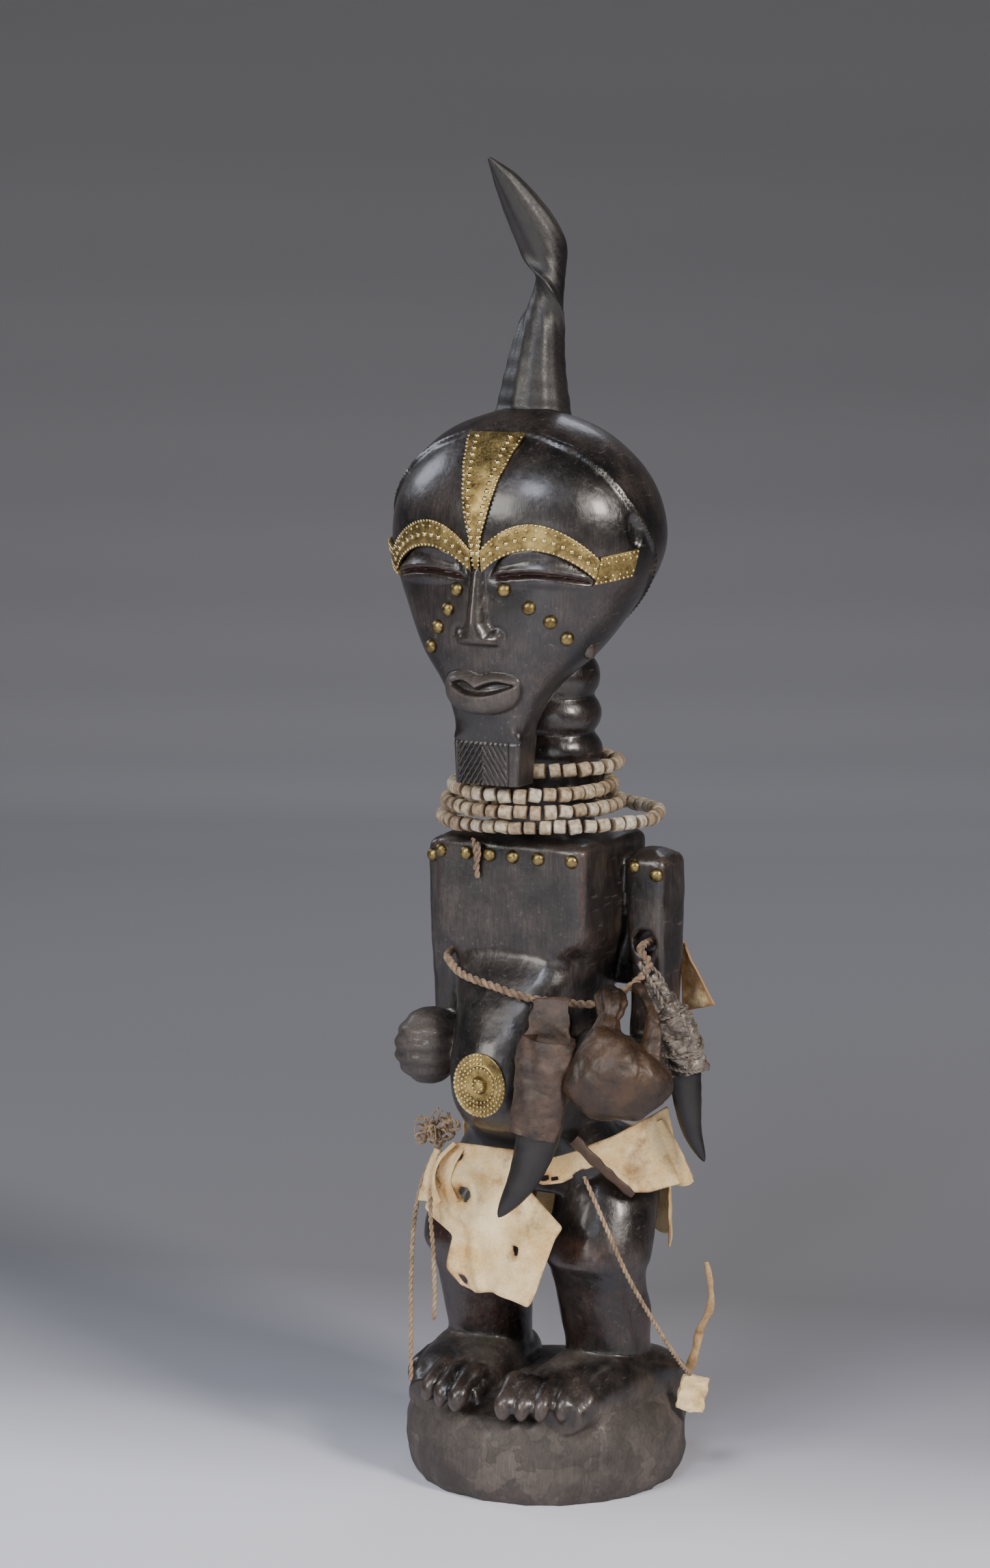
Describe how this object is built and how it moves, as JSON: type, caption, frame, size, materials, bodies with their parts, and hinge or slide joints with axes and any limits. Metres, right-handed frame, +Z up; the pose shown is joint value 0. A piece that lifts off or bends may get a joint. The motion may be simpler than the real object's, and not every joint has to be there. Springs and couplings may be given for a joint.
{
  "type": "carved wooden power figure",
  "caption": "Standing carved wooden figure on a round base, with a horn on its head, brass strips, bead strands, charms and a hide skirt.",
  "frame": {"origin": "centre of the base's flat underside", "axes": "+Z up, the figure faces -Y and its left hand is at +X"},
  "size_m": [0.2039, 0.1938, 0.7967],
  "materials": {
    "wood": "oiled, nearly black, worn red-brown on the edges",
    "horn": "polished dark horn",
    "brass": "old sheet brass, dark in the hollows",
    "bead": "worn, off-white and tan",
    "rope": "twisted plant fibre, dirty brown",
    "skin": "old dark hide, dry and scuffed",
    "hide": "stiff untanned pale hide"
  },
  "bodies": {
    "root": {"carved_figure": "wood", "crown_horn": "horn", "belly_disc": "brass", "forehead_strip": "brass", "brow_strip_left": "brass", "temple_strip_left": "brass", "cheek_nail_left_1": "brass", "cheek_nail_left_2": "brass", "cheek_nail_left_3": "brass", "cheek_nail_left_4": "brass", "brow_strip_right": "brass", "temple_strip_right": "brass", "cheek_nail_right_1": "brass", "cheek_nail_right_2": "brass", "cheek_nail_right_3": "brass", "cheek_nail_right_4": "brass", "chest_nail_1": "brass", "chest_nail_2": "brass", "chest_nail_3": "brass", "chest_nail_4": "brass", "chest_nail_5": "brass", "chest_nail_6": "brass", "arm_nail_left_1": "brass", "arm_nail_left_2": "brass", "arm_nail_right_1": "brass", "arm_nail_right_2": "brass", "bead_strand_top": "bead", "bead_strand_second": "bead", "bead_strand_third": "bead", "bead_strand_bottom": "bead", "charm_rope": "rope", "waist_rope": "rope", "front_horn": "horn", "front_horn_sheath": "skin", "side_horn": "horn", "side_horn_wrap": "skin", "skin_pouch": "skin", "front_hide_flap": "hide", "side_hide_panel": "hide", "back_hide_panel": "hide", "elbow_hide_flap": "hide", "hide_thong": "skin", "ankle_cord": "rope", "hide_tag": "hide", "long_loose_cord": "rope", "short_loose_cord": "rope", "stiff_hide_strip": "hide", "necklace_tie": "rope"}
  },
  "joints": []
}
